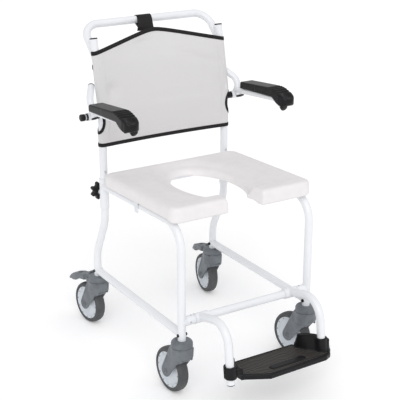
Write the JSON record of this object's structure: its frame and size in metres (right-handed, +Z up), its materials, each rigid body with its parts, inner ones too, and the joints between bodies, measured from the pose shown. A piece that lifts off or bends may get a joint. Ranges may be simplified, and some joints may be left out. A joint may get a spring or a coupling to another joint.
{
  "type": "commode chair",
  "caption": "Mobile shower commode chair: tube frame on swivel castors, fabric back with push handle, swing-up arms, swing-away footrest and padded horseshoe seat.",
  "frame": {"origin": "on the floor under the centre of the chair's overall box", "axes": "+Z up, the chair faces -Y, +X is the right side as seen from the front"},
  "size_m": [0.534, 0.8243, 0.9172],
  "materials": {
    "frame_tube": "white powder coat, fine orange peel",
    "steel_fastener": "zinc-plated steel",
    "castor_housing": "grey moulded nylon",
    "wheel_disc": "pale moulded nylon",
    "tyre": "dark grey non-marking tread",
    "black_trim": "black moulded plastic",
    "arm_pad": "black skinned polyurethane foam",
    "back_fabric": "light grey coated polyester mesh",
    "webbing": "black woven polyester webbing and binding",
    "footplate": "black moulded polypropylene with a textured tread",
    "seat_skin": "white skinned polyurethane foam, fine grain",
    "seat_clip": "white moulded nylon"
  },
  "bodies": {
    "frame": {"side_tube_left": "frame_tube", "side_tube_right": "frame_tube", "rear_leg_left": "frame_tube", "rear_leg_right": "frame_tube", "back_socket_left": "frame_tube", "back_socket_right": "frame_tube", "lower_rail_left": "frame_tube", "lower_rail_right": "frame_tube", "front_cross_tube": "frame_tube", "cross_tube_collars": "frame_tube", "rear_cross_tube": "frame_tube", "collar_screws": "steel_fastener", "castor_caps": "castor_housing", "castor_bolts": "black_trim"},
    "back": {"back_upright_left": "frame_tube", "back_upright_right": "frame_tube", "upright_plugs": "black_trim", "upright_screws": "steel_fastener", "push_handle": "frame_tube", "back_panel": "back_fabric", "handle_strap": "webbing", "arm_pivot_pins": "black_trim"},
    "arm_left": {"arm_tube_left": "frame_tube", "arm_plugs_left": "black_trim", "arm_pad_left": "arm_pad"},
    "arm_right": {"arm_tube_right": "frame_tube", "arm_plugs_right": "black_trim", "arm_pad_right": "arm_pad"},
    "arm_knob_left": {"arm_knob_left": "black_trim"},
    "arm_knob_right": {"arm_knob_right": "black_trim"},
    "star_knob_left": {"star_knob_left": "black_trim"},
    "star_knob_right": {"star_knob_right": "black_trim"},
    "footrest": {"footrest_tube_left": "frame_tube", "footrest_tube_right": "frame_tube", "footrest_plugs": "black_trim"},
    "footplate": {"footplate": "footplate"},
    "seat": {"seat_cushion": "seat_skin", "seat_clips": "seat_clip"},
    "castor_front_left": {"castor_fork_front_left": "castor_housing", "axle_front_left": "steel_fastener"},
    "wheel_front_left": {"wheel_front_left": "wheel_disc", "tyre_front_left": "tyre"},
    "castor_front_right": {"castor_fork_front_right": "castor_housing", "axle_front_right": "steel_fastener"},
    "wheel_front_right": {"wheel_front_right": "wheel_disc", "tyre_front_right": "tyre"},
    "castor_rear_left": {"castor_fork_rear_left": "castor_housing", "axle_rear_left": "steel_fastener"},
    "wheel_rear_left": {"wheel_rear_left": "wheel_disc", "tyre_rear_left": "tyre"},
    "brake_pedal_left": {"brake_pedal_left": "castor_housing"},
    "castor_rear_right": {"castor_fork_rear_right": "castor_housing", "axle_rear_right": "steel_fastener"},
    "wheel_rear_right": {"wheel_rear_right": "wheel_disc", "tyre_rear_right": "tyre"},
    "brake_pedal_right": {"brake_pedal_right": "castor_housing"}
  },
  "joints": [
    {"name": "castor_swivel_front_left", "type": "hinge", "parent": "frame", "child": "castor_front_left", "pos_m": [-0.201, -0.2271, 0.14], "axis": [0, 0, 1], "continuous": true},
    {"name": "wheel_spin_front_left", "type": "hinge", "parent": "castor_front_left", "child": "wheel_front_left", "pos_m": [-0.2032, -0.17855, 0.0625], "axis": [0.999, 0.0454, 0], "continuous": true},
    {"name": "castor_swivel_front_right", "type": "hinge", "parent": "frame", "child": "castor_front_right", "pos_m": [0.201, -0.2271, 0.14], "axis": [0, 0, 1], "continuous": true},
    {"name": "wheel_spin_front_right", "type": "hinge", "parent": "castor_front_right", "child": "wheel_front_right", "pos_m": [0.19348, -0.17908, 0.0625], "axis": [0.988, 0.1547, 0], "continuous": true},
    {"name": "castor_swivel_rear_left", "type": "hinge", "parent": "frame", "child": "castor_rear_left", "pos_m": [-0.201, 0.2594, 0.14], "axis": [0, 0, 1], "continuous": true},
    {"name": "wheel_spin_rear_left", "type": "hinge", "parent": "castor_rear_left", "child": "wheel_rear_left", "pos_m": [-0.20734, 0.30758, 0.0625], "axis": [0.9914, 0.1305, 0], "continuous": true},
    {"name": "brake_pedal_left", "type": "hinge", "parent": "castor_rear_left", "child": "brake_pedal_left", "pos_m": [-0.20622, 0.29906, 0.141], "axis": [-0.9914, -0.1305, 0], "range_deg": [0, 12]},
    {"name": "castor_swivel_rear_right", "type": "hinge", "parent": "frame", "child": "castor_rear_right", "pos_m": [0.201, 0.2594, 0.14], "axis": [0, 0, 1], "continuous": true},
    {"name": "wheel_spin_rear_right", "type": "hinge", "parent": "castor_rear_right", "child": "wheel_rear_right", "pos_m": [0.20852, 0.30741, 0.0625], "axis": [0.988, -0.1547, 0], "continuous": true},
    {"name": "brake_pedal_right", "type": "hinge", "parent": "castor_rear_right", "child": "brake_pedal_right", "pos_m": [0.20719, 0.29892, 0.141], "axis": [-0.988, 0.1547, 0], "range_deg": [0, 12]},
    {"name": "back_lift", "type": "slide", "parent": "frame", "child": "back", "axis": [0, 0, 1], "range_m": [0, 0.06]},
    {"name": "arm_raise_left", "type": "hinge", "parent": "back", "child": "arm_left", "pos_m": [-0.235, 0.1994, 0.673], "axis": [-1, 0, 0], "range_deg": [0, 100]},
    {"name": "arm_knob_turn_left", "type": "hinge", "parent": "arm_left", "child": "arm_knob_left", "pos_m": [-0.255, 0.1994, 0.673], "axis": [1, 0, 0], "range_deg": [0, 360]},
    {"name": "star_knob_turn_left", "type": "hinge", "parent": "frame", "child": "star_knob_left", "pos_m": [-0.201, 0.2294, 0.442], "axis": [0, 1, 0], "range_deg": [0, 360]},
    {"name": "arm_raise_right", "type": "hinge", "parent": "back", "child": "arm_right", "pos_m": [0.235, 0.1994, 0.673], "axis": [-1, 0, 0], "range_deg": [0, 100]},
    {"name": "arm_knob_turn_right", "type": "hinge", "parent": "arm_right", "child": "arm_knob_right", "pos_m": [0.255, 0.1994, 0.673], "axis": [1, 0, 0], "range_deg": [0, 360]},
    {"name": "star_knob_turn_right", "type": "hinge", "parent": "frame", "child": "star_knob_right", "pos_m": [0.201, 0.2294, 0.442], "axis": [0, 1, 0], "range_deg": [0, 360]},
    {"name": "footrest_swing", "type": "hinge", "parent": "frame", "child": "footrest", "pos_m": [0, -0.2271, 0.2194], "axis": [1, 0, 0], "range_deg": [0, 100]},
    {"name": "footplate_height", "type": "slide", "parent": "footrest", "child": "footplate", "axis": [0, 0.1219, 0.9925], "range_m": [0, 0.04]},
    {"name": "seat_lift", "type": "slide", "parent": "frame", "child": "seat", "axis": [0, 0, 1], "range_m": [0, 0.12]}
  ]
}
